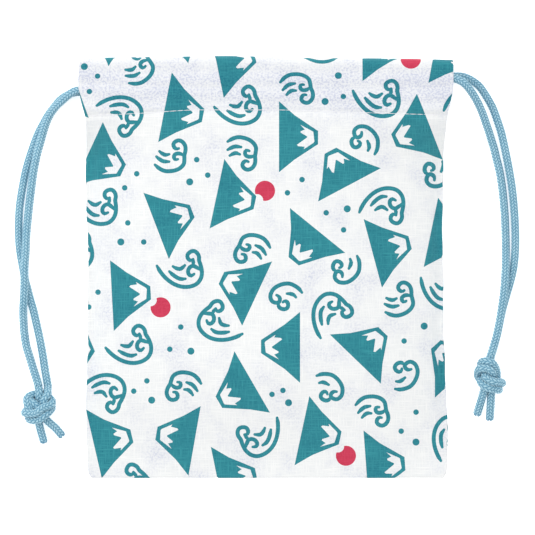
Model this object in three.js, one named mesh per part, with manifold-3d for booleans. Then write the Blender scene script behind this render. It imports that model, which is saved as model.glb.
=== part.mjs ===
// A small kinchaku: a printed cotton pouch with two drawstrings, lying on its back with its mouth a little open.
// Millimetres. +X is to the pouch's right, +Y runs from its folded bottom to its mouth, and +Z is up from the
// surface that it lies on. The origin is on that surface, under the middle of the cloth.
import * as THREE from "three";
import { mergeVertices } from "three/addons/utils/BufferGeometryUtils.js";
import Module from "manifold-3d";

const wasm = await Module();
wasm.setup();

// ---- Driving dimensions ----------------------------------------------------------------------------------

const CLOTH = 0.6; // one layer of the cotton, with its folds pressed
const CORD = 3; // diameter of a drawstring
const THREAD = 0.4; // diameter of the sewing thread
const GAP = 0.3; // clearance between pieces that touch

const HALF_LENGTH = 75.2; // from the middle to the bottom fold, and to the casings' fold
const STITCH_Y = 55.2; // the seam that closes both casings
const SLIT_Y = 41; // the side seams end here, and the front and back are free above it
const MOUTH = 4.4; // the open mouth, between the front and back casings
const BODY_RISE = 11; // height of the front over the back, in the middle of the pouch
const SEAM_RISE = 1.6; // height of the pressed edge, at the side seams and the bottom fold
const SEAM_WIDTH = 1.8; // the part of each edge that is sewn flat
const ALLOWANCE = 3 * CLOTH; // height of the seam allowance that lies inside along each side
const ALLOWANCE_X = 56; // the allowance reaches in to here
const SEAM_THREAD_X = 58; // the thread of each side seam runs up the allowance here
const SEAM_THREAD_START_Y = -48; // from here, where the fold at the bottom leaves room for it
const FLAP_END_X = 55.5; // the casings' inner layers end here, which leaves room for the cords' turns
const TURN_X = 56; // each cord turns back beyond here

const TUNNEL = CORD + 2 * GAP; // inner height of a casing
const CASING = TUNNEL + 2 * CLOTH; // outer height of a casing
const HEIGHT = 2 * CASING + MOUTH;
const BACK_Z = CASING / 2; // middle of the back casing's tunnel
const FRONT_Z = HEIGHT - CASING / 2; // middle of the front casing's tunnel
const FOLD_CENTRE_Y = HALF_LENGTH - CASING / 2; // the folded edge of a casing is round about here
const TUNNEL_START_Y = STITCH_Y + 3.6; // and its other side is round about here

// The side edges: each point is [y, x of the left edge, x of the right edge]. The casings' ends flare.
const SIDE_EDGES = [
  [-75.2, -63.4, 66.1],
  [-66, -64.1, 66.8],
  [-40, -63.9, 66.3],
  [10, -63.9, 65.3],
  [45, -63.7, 64.6],
  [53.4, -63.6, 65.2],
  [60, -65.3, 66.4],
  [65.2, -67.1, 67.1],
  [75.2, -66.2, 67.1],
];

// The drawstrings outside the casings, each strand from the casing's end to the knot.
const LEFT_FRONT_STRAND = [
  [-67.0, 63.0, 11.6], [-69.4, 61.9, 11.3], [-72.0, 59.7, 10.2], [-74.9, 57.0, 8.5], [-76.9, 54.1, 6.9],
  [-78.2, 51.2, 5.6], [-79.1, 48.4, 4.8], [-79.9, 45.5, 4.4], [-81.5, 39.8, 4.0], [-82.6, 34.1, 3.6],
  [-83.4, 28.4, 3.0], [-84.1, 22.7, 2.6], [-84.7, 17.0, 2.9], [-85.2, 11.2, 3.7], [-85.4, 5.5, 4.3],
  [-85.8, -0.2, 4.8], [-85.8, -4.5, 4.8], [-85.9, -8.7, 4.6], [-86.1, -12.0, 3.9], [-86.3, -15.5, 2.6],
  [-86.2, -19.5, 1.7], [-85.9, -23.5, 1.6], [-85.2, -28.0, 1.8], [-84.0, -32.0, 2.3], [-82.6, -36.5, 3.1],
  [-81.3, -40.5, 3.8], [-80.7, -42.8, 4.2],
];
const LEFT_BACK_STRAND = [
  [-67.0, 62.6, 2.4], [-70.0, 61.8, 2.1], [-73.0, 59.9, 1.8], [-75.5, 57.0, 1.6], [-77.6, 54.1, 1.5],
  [-79.2, 51.2, 1.5], [-80.7, 48.4, 1.5], [-81.9, 45.5, 1.5], [-83.9, 39.8, 1.5], [-85.5, 34.1, 1.5],
  [-86.6, 28.4, 1.5], [-87.5, 22.7, 1.5], [-87.9, 17.0, 1.5], [-87.9, 11.2, 1.5], [-87.4, 5.5, 1.5],
  [-86.4, -0.2, 1.5], [-85.6, -4.5, 1.5], [-84.5, -8.7, 1.5], [-83.6, -12.0, 1.5], [-82.6, -15.5, 1.5],
  [-81.7, -19.5, 1.5], [-80.8, -23.5, 1.5], [-79.9, -28.0, 1.6], [-79.2, -32.0, 1.9], [-78.5, -36.5, 2.3],
  [-77.8, -40.5, 2.7], [-77.4, -42.8, 2.9],
];
const RIGHT_FRONT_STRAND = [
  [67.0, 67.4, 11.6], [70.0, 66.3, 11.4], [72.0, 64.6, 10.8], [73.6, 62.5, 9.9], [75.3, 59.8, 8.6],
  [76.7, 57.0, 7.2], [77.9, 54.1, 5.8], [78.9, 51.2, 4.5], [79.9, 48.4, 3.3], [80.8, 45.5, 2.4],
  [81.7, 42.7, 1.8], [82.4, 39.8, 1.5], [83.8, 34.1, 1.5], [84.7, 28.4, 1.5], [85.3, 22.7, 1.5],
  [85.7, 17.0, 1.5], [85.9, 11.2, 1.5], [86.0, 5.5, 1.9], [85.9, -0.2, 3.4], [85.6, -5.0, 4.3],
  [85.2, -9.5, 4.7], [84.5, -14.5, 4.8], [83.6, -20.0, 4.8], [82.5, -25.0, 5.0], [81.3, -29.0, 5.3],
  [80.3, -32.1, 5.6],
];
const RIGHT_BACK_STRAND = [
  [67.0, 68.2, 2.4], [70.0, 68.2, 2.2], [72.2, 67.6, 2.0], [74.4, 66.4, 1.8], [76.6, 64.6, 1.6],
  [78.2, 62.4, 1.5], [79.8, 59.8, 1.5], [81.3, 57.0, 1.5], [82.4, 54.1, 1.5], [83.4, 51.2, 1.5],
  [84.3, 48.4, 1.5], [85.0, 45.5, 1.5], [86.2, 39.8, 1.5], [87.3, 34.1, 1.5], [88.2, 28.4, 1.5],
  [88.8, 22.7, 1.5], [89.2, 17.0, 1.5], [89.4, 11.2, 1.5], [89.3, 5.5, 1.5], [88.7, -0.2, 1.5],
  [87.6, -5.0, 1.5], [86.3, -9.5, 1.5], [84.9, -14.5, 1.5], [83.7, -20.0, 1.5], [82.6, -25.0, 1.6],
  [81.5, -29.0, 1.9], [80.5, -32.1, 2.2],
];

// The drawstrings inside the casings, each run from the strand's exit to the turn at the far end.
const LEFT_FRONT_RUN = [
  [-60, 63.0, FRONT_Z],
  [-30, 62.2, FRONT_Z],
  [10, 60.9, FRONT_Z],
  [48, 60.0, FRONT_Z],
];
const LEFT_BACK_RUN = [
  [-60, 62.6, BACK_Z],
  [-30, 63.0, BACK_Z],
  [10, 63.8, BACK_Z],
  [48, 64.4, BACK_Z],
];
const RIGHT_FRONT_RUN = [
  [60, 67.5, FRONT_Z],
  [30, 67.3, FRONT_Z],
  [-10, 66.9, FRONT_Z],
  [-48, 66.4, FRONT_Z],
];
const RIGHT_BACK_RUN = [
  [60, 68.2, BACK_Z],
  [30, 68.9, BACK_Z],
  [-10, 70.9, BACK_Z],
  [-48, 72.5, BACK_Z],
];

const DRAWSTRINGS = {
  left_drawstring: {
    frontStrand: LEFT_FRONT_STRAND,
    frontRun: LEFT_FRONT_RUN,
    backRun: LEFT_BACK_RUN,
    backStrand: LEFT_BACK_STRAND,
  },
  right_drawstring: {
    frontStrand: RIGHT_FRONT_STRAND,
    frontRun: RIGHT_FRONT_RUN,
    backRun: RIGHT_BACK_RUN,
    backStrand: RIGHT_BACK_STRAND,
  },
};

// Both ends of a drawstring are tied in one overhand knot, and come out of it as two short tails.
const KNOTS = {
  left_knot: {
    centre: [-81.6, -49.1, 4.5],
    size: [6.3, 5.3, 4.4],
    tilt: 17,
    topY: -43.5,
    tails: [
      [[-81.9, -51.5, 3.4], [-80.9, -57.0, 1.7], [-78.6, -63.0, 1.5]],
      [[-79.6, -51.0, 3.6], [-76.1, -56.6, 1.7], [-72.1, -60.5, 1.5]],
    ],
  },
  right_knot: {
    centre: [80.2, -38.7, 4.5],
    size: [6.3, 5.3, 4.4],
    tilt: -35,
    topY: -32.8,
    tails: [
      [[78.7, -41.0, 3.4], [77.3, -47.5, 1.7], [75.5, -53.0, 1.5]],
      [[81.0, -41.0, 3.6], [80.9, -48.5, 1.7], [80.2, -54.8, 1.5]],
    ],
  },
};

// ---- Solids ------------------------------------------------------------------------------------------------

const { clamp, lerp, smoothstep, degToRad } = THREE.MathUtils;

// A closed three.js geometry as a solid that can be cut and joined.
function solid(geometry) {
  const bare = geometry.clone().deleteAttribute("normal").deleteAttribute("uv");
  const merged = mergeVertices(bare, 1e-4);
  const vertProperties = new Float32Array(merged.attributes.position.array);
  const triVerts = new Uint32Array(merged.index.array);
  return new wasm.Manifold(new wasm.Mesh({ numProp: 3, vertProperties, triVerts }));
}

// A cut or joined solid as a three.js geometry, flat shaded.
function geometryOf(made) {
  const { vertProperties, triVerts } = made.getMesh();
  const shared = new THREE.BufferGeometry();
  shared.setAttribute("position", new THREE.BufferAttribute(vertProperties, 3));
  shared.setIndex(new THREE.BufferAttribute(triVerts, 1));
  const geometry = shared.toNonIndexed();
  geometry.computeVertexNormals();
  return geometry;
}

// A block between two heights. It starts as a box with a grid of cells, and each corner of a cell goes to its
// row (a y), its place across that row, and the top or bottom height there.
function block(rows, columns, left, right, top, bottom) {
  const box = new THREE.BoxGeometry(2, 2, 2, columns.length - 1, rows.length - 1, 1);
  const place = box.attributes.position;
  for (let i = 0; i < place.count; i++) {
    const column = Math.round(((place.getX(i) + 1) / 2) * (columns.length - 1));
    const row = Math.round(((place.getY(i) + 1) / 2) * (rows.length - 1));
    const y = rows[row];
    const x = lerp(left(y), right(y), columns[column]);
    place.setXYZ(i, x, y, place.getZ(i) > 0 ? top(x, y) : bottom(x, y));
  }
  return solid(box);
}

// A tube along a route, with its rings on the route's own points.
class Route extends THREE.CatmullRomCurve3 {
  getUtoTmapping(u) {
    return u;
  }
}

function tube(points, diameter, sides) {
  const section = new THREE.Shape();
  for (let i = 0; i < sides; i++) {
    const angle = (2 * Math.PI * i) / sides;
    const corner = [(diameter / 2) * Math.cos(angle), (diameter / 2) * Math.sin(angle)];
    if (i === 0) section.moveTo(...corner);
    else section.lineTo(...corner);
  }
  section.closePath();
  const path = new Route(points.map((p) => new THREE.Vector3(...p)));
  return new THREE.ExtrudeGeometry(section, { steps: points.length - 1, extrudePath: path });
}

// ---- The shape of the cloth ----------------------------------------------------------------------------------

function edgeAt(y, side) {
  const last = SIDE_EDGES.length - 1;
  const after = clamp(SIDE_EDGES.findIndex(([edgeY]) => edgeY >= y), 1, last);
  const [low, high] = [SIDE_EDGES[after - 1], SIDE_EDGES[after]];
  return lerp(low[side], high[side], clamp((y - low[0]) / (high[0] - low[0]), 0, 1));
}
const leftEdge = (y) => edgeAt(y, 1);
const rightEdge = (y) => edgeAt(y, 2);

// Half the height of a round edge: full inside its centre, and nothing at its radius beyond it.
function roundness(beyond, radius) {
  return beyond <= 0 ? radius : Math.sqrt(Math.max(0, radius * radius - beyond * beyond));
}

// Half the height of a casing's outside, or of the tunnel in it, which are round at both edges.
const casingHalf = (y) => roundness(Math.max(y - FOLD_CENTRE_Y, TUNNEL_START_Y - y), CASING / 2);
const tunnelHalf = (y) => roundness(Math.max(y - FOLD_CENTRE_Y, TUNNEL_START_Y - y), TUNNEL / 2);

// The outside of the front. It lies in a low dome between the seams, and its edges rise to the casing over
// the slits, where nothing sews them to the back.
function frontTop(x, y) {
  if (y > FOLD_CENTRE_Y) return FRONT_Z + casingHalf(y);
  const middle = (leftEdge(y) + rightEdge(y)) / 2;
  const across = clamp((x - middle) / (rightEdge(y) - middle), -1, 1);
  const edge = lerp(SEAM_RISE, HEIGHT, smoothstep(y, SLIT_Y - 3, TUNNEL_START_Y));
  const body = lerp(SEAM_RISE, BODY_RISE, smoothstep(y, -HALF_LENGTH, -35));
  const crown = lerp(body, HEIGHT, smoothstep(y, 0, TUNNEL_START_Y));
  return lerp(crown, edge, Math.abs(across) ** 3.5);
}

// The outside of the back: flat on the surface, up to the round fold of its casing.
const backBottom = (x, y) => (y > FOLD_CENTRE_Y ? BACK_Z - casingHalf(y) : 0);

// The two layers at the hem, measured from the seam in them.
const HEM_BELOW = 0.7;
const HEM_ABOVE = 0.5;

// How thick the front or the back is: one layer, two at the hem under the seam, and the whole casing above it.
function layers(y, outside, tunnelZ) {
  if (y < STITCH_Y - HEM_BELOW) return CLOTH;
  if (y < STITCH_Y + HEM_ABOVE) return 2 * CLOTH;
  return Math.abs(outside - tunnelZ) + casingHalf(y);
}
const frontInside = (x, y) => frontTop(x, y) - layers(y, frontTop(x, y), FRONT_Z);

function backInside(x, y) {
  const cloth = backBottom(x, y) + layers(y, backBottom(x, y), BACK_Z);
  if (y > SLIT_Y || Math.abs(x) < ALLOWANCE_X) return cloth;
  return Math.max(cloth, Math.min(ALLOWANCE, frontInside(x, y) - 0.2));
}

// ---- The cloth -----------------------------------------------------------------------------------------------

// The round edges of a casing or a tunnel, in steps of 30 degrees and a last flat.
const ROUND_STEPS = [0, 30, 60, 78].map((a) => Math.sin(degToRad(a)));
const startRows = (radius) => ROUND_STEPS.map((s) => TUNNEL_START_Y - radius * s).reverse();
const foldRows = (radius) => ROUND_STEPS.map((s) => FOLD_CENTRE_Y + radius * s);

const HEM_ROWS = [-HEM_BELOW - 0.1, -HEM_BELOW + 0.1, HEM_ABOVE - 0.1, HEM_ABOVE + 0.2].map((d) => STITCH_Y + d);
const BODY_ROWS = [-58, -48, -38, -26, -10, 8, 22, 32, 38, 40.5, 41.5, 45, 50, ...HEM_ROWS];
const COLUMNS = [0, 0.03, 0.059, 0.066, 0.12, 0.22, 0.36, 0.5, 0.64, 0.78, 0.88, 0.934, 0.941, 0.97, 1];
const ENDS = [0, 1];
const BEYOND = 71; // outside the cloth on both sides

function pouchCloth() {
  const casingRows = [...startRows(CASING / 2), ...foldRows(CASING / 2)];
  const outside = block(
    [-HALF_LENGTH, -73.4, -67, ...BODY_ROWS, ...casingRows],
    COLUMNS,
    leftEdge,
    rightEdge,
    frontTop,
    backBottom,
  );

  // The hollow opens through the mouth, and through the slits at both sides.
  const hollow = block(
    [-HALF_LENGTH + SEAM_WIDTH, -67, ...BODY_ROWS, ...casingRows, HALF_LENGTH + 5],
    COLUMNS,
    (y) => (y > SLIT_Y ? -BEYOND : leftEdge(y) + SEAM_WIDTH),
    (y) => (y > SLIT_Y ? BEYOND : rightEdge(y) - SEAM_WIDTH),
    frontInside,
    backInside,
  );

  // The tunnels hold the drawstrings, and run out at both ends of each casing.
  const tunnelRows = [...startRows(TUNNEL / 2), ...foldRows(TUNNEL / 2)];
  const tunnel = (z) =>
    block(
      tunnelRows,
      ENDS,
      () => -BEYOND,
      () => BEYOND,
      (x, y) => z + tunnelHalf(y),
      (x, y) => z - tunnelHalf(y),
    );

  // At its ends a casing has only its outer layer, so that the cords can turn from front to back.
  const turnRoom = (side) =>
    block(
      tunnelRows,
      ENDS,
      () => (side > 0 ? FLAP_END_X : -BEYOND),
      () => (side > 0 ? BEYOND : -FLAP_END_X),
      (x, y) => FRONT_Z + tunnelHalf(y),
      (x, y) => BACK_Z - tunnelHalf(y),
    );

  return [hollow, tunnel(FRONT_Z), tunnel(BACK_Z), turnRoom(-1), turnRoom(1)].reduce(
    (cloth, space) => cloth.subtract(space),
    outside,
  );
}

// ---- The drawstrings -----------------------------------------------------------------------------------------

// The half circle in which a cord leaves one casing and enters the other, without its two ends.
function turn(front, back, side) {
  const [, frontY, frontZ] = front;
  const [, backY, backZ] = back;
  const radius = Math.hypot(frontY - backY, frontZ - backZ) / 2;
  return [0, 36, 72, 108, 144, 180].map((degrees) => {
    const angle = degToRad(degrees);
    const share = (1 - Math.cos(angle)) / 2;
    return [side * (TURN_X + radius * Math.sin(angle)), lerp(frontY, backY, share), lerp(frontZ, backZ, share)];
  });
}

function drawstring({ frontStrand, frontRun, backRun, backStrand }) {
  const side = Math.sign(frontRun.at(-1)[0]);
  const bend = turn(frontRun.at(-1), backRun.at(-1), side);
  const route = [
    ...frontStrand.toReversed(),
    ...frontRun,
    ...bend,
    ...backRun.toReversed(),
    ...backStrand,
  ];
  return tube(route, CORD, 8);
}

function knot({ centre, size, tilt, topY, tails }) {
  const ball = new THREE.SphereGeometry(1, 16, 12);
  ball.scale(...size).rotateZ(degToRad(tilt)).translate(...centre);
  const aboveTop = new THREE.BoxGeometry(30, 10, 30).translate(centre[0], topY + 5, centre[2]);
  const body = solid(ball).subtract(solid(aboveTop));
  return tails.reduce((made, tail) => made.add(solid(tube(tail, CORD, 8))), body);
}

// ---- The thread ----------------------------------------------------------------------------------------------

// Each seam is one line of thread, laid on the cloth that it holds.
const ON_CLOTH = GAP + THREAD / 2;

// Evenly spaced values from one number to another.
const steps = (from, to, count) => Array.from({ length: count + 1 }, (_, i) => lerp(from, to, i / count));

function casingThread(height) {
  const across = steps(leftEdge(STITCH_Y) + 1.5, rightEdge(STITCH_Y) - 1.5, 14);
  return tube(across.map((x) => [x, STITCH_Y, height(x, STITCH_Y) + ON_CLOTH]), THREAD, 6);
}

function seamThread(x) {
  const along = steps(SEAM_THREAD_START_Y, SLIT_Y - 4, 9);
  return tube(along.map((y) => [x, y, backInside(x, y) + ON_CLOTH]), THREAD, 6);
}

// ---- The pouch -----------------------------------------------------------------------------------------------

const cotton = new THREE.MeshStandardMaterial({ color: 0xf4f3f6, roughness: 0.95, metalness: 0 });
const braid = new THREE.MeshStandardMaterial({ color: 0x7fb6d6, roughness: 0.7, metalness: 0 });
const whiteThread = new THREE.MeshStandardMaterial({ color: 0xffffff, roughness: 0.7, metalness: 0 });

const kinchaku = new THREE.Group();

function addPiece(name, geometry, material) {
  const mesh = new THREE.Mesh(geometry, material);
  mesh.name = name;
  kinchaku.add(mesh);
}

addPiece("pouch_cloth", geometryOf(pouchCloth()), cotton);
for (const [name, route] of Object.entries(DRAWSTRINGS)) addPiece(name, drawstring(route), braid);
for (const [name, shape] of Object.entries(KNOTS)) addPiece(name, geometryOf(knot(shape)), braid);
addPiece("front_casing_thread", casingThread(frontTop), whiteThread);
addPiece("back_casing_thread", casingThread(backInside), whiteThread);
addPiece("left_seam_thread", seamThread(-SEAM_THREAD_X), whiteThread);
addPiece("right_seam_thread", seamThread(SEAM_THREAD_X), whiteThread);

export default kinchaku;
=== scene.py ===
import math

import bpy
import numpy as np
from mathutils.geometry import delaunay_2d_cdt
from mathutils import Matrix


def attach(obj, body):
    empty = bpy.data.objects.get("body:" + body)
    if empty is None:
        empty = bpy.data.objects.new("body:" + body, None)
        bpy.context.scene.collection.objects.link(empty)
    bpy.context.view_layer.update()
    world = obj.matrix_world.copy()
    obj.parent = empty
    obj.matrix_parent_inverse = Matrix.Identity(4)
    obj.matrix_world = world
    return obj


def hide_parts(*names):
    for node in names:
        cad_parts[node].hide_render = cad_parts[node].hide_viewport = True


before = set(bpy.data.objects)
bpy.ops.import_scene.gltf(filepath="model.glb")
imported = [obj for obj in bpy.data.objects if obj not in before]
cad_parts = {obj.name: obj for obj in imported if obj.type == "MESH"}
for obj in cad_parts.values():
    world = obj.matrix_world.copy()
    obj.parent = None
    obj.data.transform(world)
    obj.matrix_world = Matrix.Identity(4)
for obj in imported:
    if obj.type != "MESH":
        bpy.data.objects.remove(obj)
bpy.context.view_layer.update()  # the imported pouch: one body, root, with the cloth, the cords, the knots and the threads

MM = 0.001
# ---- Pouch cloth -----------------------------------------------------------------------------------------
# One strip of thin white cotton, printed on its outer side and folded in half at the bottom. A seam closes
# each side as far as the slit, with its allowances inside, and each end of the strip is folded in and
# stitched down as a casing. Lengths here are millimetres on the cutting table: u across the strip, v along
# it. On the front panel v is the same as y, and the strip goes on round the folds from there.

FABRIC = 0.3
HALF_LENGTH = 75.2
CASING_RADIUS = 2.4
BOTTOM_RADIUS = 0.8
HEM_RADIUS = 0.39
ALLOWANCE = 9
SLIT_Y = 41
STITCH_Y = 55.2
TUNNEL_START_Y = STITCH_Y + 3.6
HEIGHT = 14
EDGE_RISE = 2 * BOTTOM_RADIUS
BODY_RISE = 11
FLAP_END_X = 55.5
FLAP_BELOW_STITCH = 2.2

FOLD_Y = HALF_LENGTH - CASING_RADIUS
BOTTOM_Y = BOTTOM_RADIUS - HALF_LENGTH
PANEL = FOLD_Y - BOTTOM_Y
CASING_ARC = math.pi * CASING_RADIUS
BOTTOM_ARC = math.pi * BOTTOM_RADIUS
HEM_ARC = math.pi * HEM_RADIUS
FLAP = FOLD_Y - STITCH_Y + FLAP_BELOW_STITCH
FRONT_END_V = FOLD_Y + CASING_ARC + FLAP
BACK_V = BOTTOM_Y - BOTTOM_ARC
BACK_FOLD_V = BACK_V - PANEL
BACK_END_V = BACK_FOLD_V - CASING_ARC - FLAP

# The left and the right edge of the sewn pouch at some heights: the ends of the casings flare.
SIDE_EDGES = [
    (-75.2, -62.9, 64.7), (-66, -63.7, 65.2), (-54, -63.9, 65.4), (-40, -63.7, 64.3), (-20, -63.2, 63.8),
    (10, -63.3, 63.4), (24, -63.8, 63.5), (38, -64.2, 63.6), (45, -63.7, 64.2), (53.4, -63.8, 65.0),
    (60, -65.6, 66.2), (65.2, -66.9, 67.1), (75.2, -66.0, 67.1),
]
# The sewn line of the front casing wanders a little, and so does its folded edge.
STITCH_LINE = [(-67, 53.9), (-44, 54.9), (-27, 56.1), (7, 56.1), (39, 55.0), (57, 54.5), (67, 54.3)]
FOLD_DROP = [
    (-67, 0.6), (-57, 0.4), (-44, 0.2), (-15, -0.2), (5, 0.1), (16, 0.5), (30, 0.6), (41, 0.7), (52, 0.85),
    (60, 1.0), (67, 1.3),
]
# The cords push the front casing up along these lines.
CORD_RIDGES = [
    [(-60, 63.0), (-30, 62.2), (10, 60.9), (48, 60.0), (60, 61.4)],
    [(-60, 68.6), (-48, 66.4), (-10, 66.9), (30, 67.3), (60, 67.5)],
]


def ease(value, start, end):
    """0 before start, 1 after end, and smooth between them."""
    share = np.clip((value - start) / (end - start), 0, 1)
    return share * share * (3 - 2 * share)


def along_line(at, line, reach=4):
    """The height of a line of points at some places, with its corners eased over a reach on both sides."""
    xs, ys = np.array(line, float).T
    return np.mean([np.interp(at + shift, xs, ys) for shift in np.linspace(-reach, reach, 7)], axis=0)


def side_edge(y, side):
    """The x of the sewn pouch's edge, on side 1 (left) or 2 (right), which a real seam never keeps straight."""
    edges = [(row[0], row[side]) for row in SIDE_EDGES]
    return along_line(y, edges, 2) + 0.12 * np.sin(y / 5.3 + side) + 0.07 * np.sin(y / 2.1 + 2 * side)


def ripple(at, shift):
    """An uneven wave, as sewn cloth puckers along its seam."""
    return (
        np.sin(at / 1.15 + shift) + 1.3 * np.sin(at / 1.9 + 2.2 * shift) + np.sin(at / 3.4 + 0.7 * shift)
    ) / 3.3


def casing_half(y):
    """Half the height of a casing, which is round at both edges."""
    beyond = np.clip(np.maximum(y - FOLD_Y, TUNNEL_START_Y - y), 0, CASING_RADIUS)
    return np.sqrt(CASING_RADIUS**2 - beyond**2)


def front_height(x, y):
    """The outside of the front panel above the surface that the pouch lies on."""
    left, right = side_edge(y, 1), side_edge(y, 2)
    across = np.clip((2 * x - left - right) / (right - left), -1, 1)
    inside = np.minimum(x - left, right - x)
    edge = EDGE_RISE + (HEIGHT - EDGE_RISE) * ease(y, SLIT_Y - 3, TUNNEL_START_Y)
    body = EDGE_RISE + (BODY_RISE - EDGE_RISE) * ease(y, BOTTOM_Y + 0.5, -33)
    crown = body + (HEIGHT - body) * ease(y, 0, TUNNEL_START_Y)
    height = edge + (crown - edge) * (1 - np.abs(across) ** 3.5) * ease(inside, -0.5, 5)

    stitch = along_line(x, STITCH_LINE)
    from_stitch = np.abs(y - stitch)
    ridges = np.zeros_like(height)
    for line in CORD_RIDGES:
        ridges = np.maximum(ridges, np.exp(-(((y - along_line(x, line)) / 2.1) ** 2)))
    in_casing = ease(y, TUNNEL_START_Y - 3, TUNNEL_START_Y) * (1 - ease(y, FOLD_Y - 4, FOLD_Y))
    height -= in_casing * 0.55 * (1 - ridges)
    height -= 0.75 * np.exp(-((from_stitch / 1.1) ** 2))
    pucker = np.exp(-from_stitch / 4.5) * (1 - ease(y, FOLD_Y - 4, FOLD_Y))
    height += 0.36 * pucker * ripple(x + 0.25 * (y - stitch), 0.4)

    # Soft creases, as the cloth has from being folded and handled.
    calm = ease(inside, 0, 6) * ease(y, BOTTOM_Y, BOTTOM_Y + 8) * (1 - ease(y, STITCH_Y - 4, STITCH_Y + 6))
    height += calm * 0.5 * np.sin(x / 9.5 + 0.9 * np.sin(y / 17)) * np.sin(y / 21 + 1.3)
    height += calm * 0.28 * np.sin((x + 0.7 * y) / 6.3 + 0.8) * np.sin((y - 0.4 * x) / 12.5)
    seam_pucker = np.exp(-np.clip(inside - 1.5, 0, None) / 3.2) * ease(inside, 0.2, 2.5) * (1 - ease(y, 38, 50))
    height += 0.26 * seam_pucker * ripple(y + 0.4 * inside, 1.1) * ease(y, BOTTOM_Y, BOTTOM_Y + 4)
    bottom_pucker = np.exp(-np.clip(y - BOTTOM_Y - 1, 0, None) / 4) * ease(y, BOTTOM_Y, BOTTOM_Y + 2.5)
    return height + 0.12 * bottom_pucker * ripple(1.3 * x, 2.3)


def back_height(x, y):
    """The outside of the back panel, which lies on the surface, and is sewn along its casing like the front."""
    pucker = np.exp(-np.abs(y - STITCH_Y) / 3) * (1 - ease(y, FOLD_Y - 4, FOLD_Y))
    return 0.12 * pucker * (1 + ripple(x, 3.1))


def fold_angle(v):
    """How far the printed side has turned from facing up: its direction is (sin, cos) of this in y and z."""
    angle = np.clip((v - FOLD_Y) / CASING_RADIUS, 0, math.pi)
    angle -= np.clip((BOTTOM_Y - v) / BOTTOM_RADIUS, 0, math.pi)
    angle -= np.clip((BACK_FOLD_V - v) / CASING_RADIUS, 0, math.pi)
    return angle


def strip_y(v):
    """The y of each point along the strip."""
    angle = fold_angle(v)
    front = np.minimum(v, FOLD_Y) - np.maximum(0, v - FOLD_Y - CASING_ARC)
    back = BOTTOM_Y + np.minimum(BACK_V - v, PANEL) - np.maximum(0, BACK_FOLD_V - CASING_ARC - v)
    y = np.where(v >= BOTTOM_Y, np.maximum(front, BOTTOM_Y), np.where(v > BACK_V, BOTTOM_Y, back))
    y += np.where(v > FOLD_Y, CASING_RADIUS * np.sin(angle), 0)
    y += np.where((v < BOTTOM_Y) & (v > BACK_V), BOTTOM_RADIUS * np.sin(angle), 0)
    return y + np.where(v < BACK_FOLD_V, CASING_RADIUS * np.sin(angle), 0)


def hem_radius(v):
    """How tightly a side edge is turned in. At the bottom fold the turn closes the corner."""
    return HEM_RADIUS + (BOTTOM_RADIUS - HEM_RADIUS) * ease(v, BACK_V - 1.2, BACK_V) * (
        1 - ease(v, BOTTOM_Y, BOTTOM_Y + 1.2)
    )


def hem_edge(v, side):
    """The u at which a side edge of the strip turns in. The pouch's bottom corners are a little rounded."""
    inward = HEM_RADIUS + 2.5 * (hem_radius(v) - HEM_RADIUS)
    return side_edge(strip_y(v), side) + (inward if side == 1 else -inward)


def folded(u, v):
    """Where the printed side of each point of the strip lies in the finished pouch."""
    y, angle = strip_y(v), fold_angle(v)
    left, right = hem_edge(v, 1), hem_edge(v, 2)
    side = np.where(u < (left + right) / 2, -1, 1)
    edge = np.where(side < 0, left, right)
    radius = hem_radius(v)
    beyond = np.maximum(0, (u - edge) * side)
    turned = np.minimum(beyond / radius, math.pi)
    inward = np.maximum(0, beyond - math.pi * radius)
    x = np.where(beyond > 0, edge + side * (radius * np.sin(turned) - inward), u)
    panel_x = np.where(beyond > 0, edge - side * inward, u)

    is_front = v >= BOTTOM_Y
    is_back = v <= BACK_V
    top = front_height(panel_x, y)
    under_fold = HEIGHT - CASING_RADIUS + CASING_RADIUS * np.cos(angle)
    flap = top - np.maximum(3 * FABRIC, 2 * casing_half(y))
    z = np.where(v > FOLD_Y, under_fold, top)
    z = np.where(v > FOLD_Y + CASING_ARC, flap, z)
    low = back_height(panel_x, y)
    over_fold = CASING_RADIUS + CASING_RADIUS * np.cos(angle)
    back = np.where(v < BACK_FOLD_V, over_fold, low)
    back = np.where(v < BACK_FOLD_V - CASING_ARC, low + np.maximum(3 * FABRIC, 2 * casing_half(y)), back)
    z = np.where(is_back, back, z)
    z = np.where(~is_front & ~is_back, BOTTOM_RADIUS + BOTTOM_RADIUS * np.cos(angle), z)

    # Past the edge the cloth comes back under itself. Below the slit both allowances lie on the back.
    depth = radius * (1 - np.cos(turned))
    lies_flat = np.where(is_front, front_height(edge, y), z)
    flat_share = np.where(is_front & (inward > 0), 1 - ease(y, SLIT_Y - 5, SLIT_Y + 5), 0)
    z = z + (lies_flat - z) * flat_share
    y = y - depth * np.sin(angle)
    z = z - depth * np.cos(angle)

    # The folded edges of both casings droop a little at their ends.
    drop = along_line(x, FOLD_DROP, 3) * ease(y, TUNNEL_START_Y, HALF_LENGTH)
    return np.stack([x, y - drop, z], axis=-1)


def outward(u, v):
    """The direction out of the printed side at each point of the strip."""
    small = 0.02
    across = folded(u + small, v) - folded(u - small, v)
    along = folded(u, v + small) - folded(u, v - small)
    normal = np.cross(across, along)
    return normal / np.linalg.norm(normal, axis=-1)[..., None]


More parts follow.
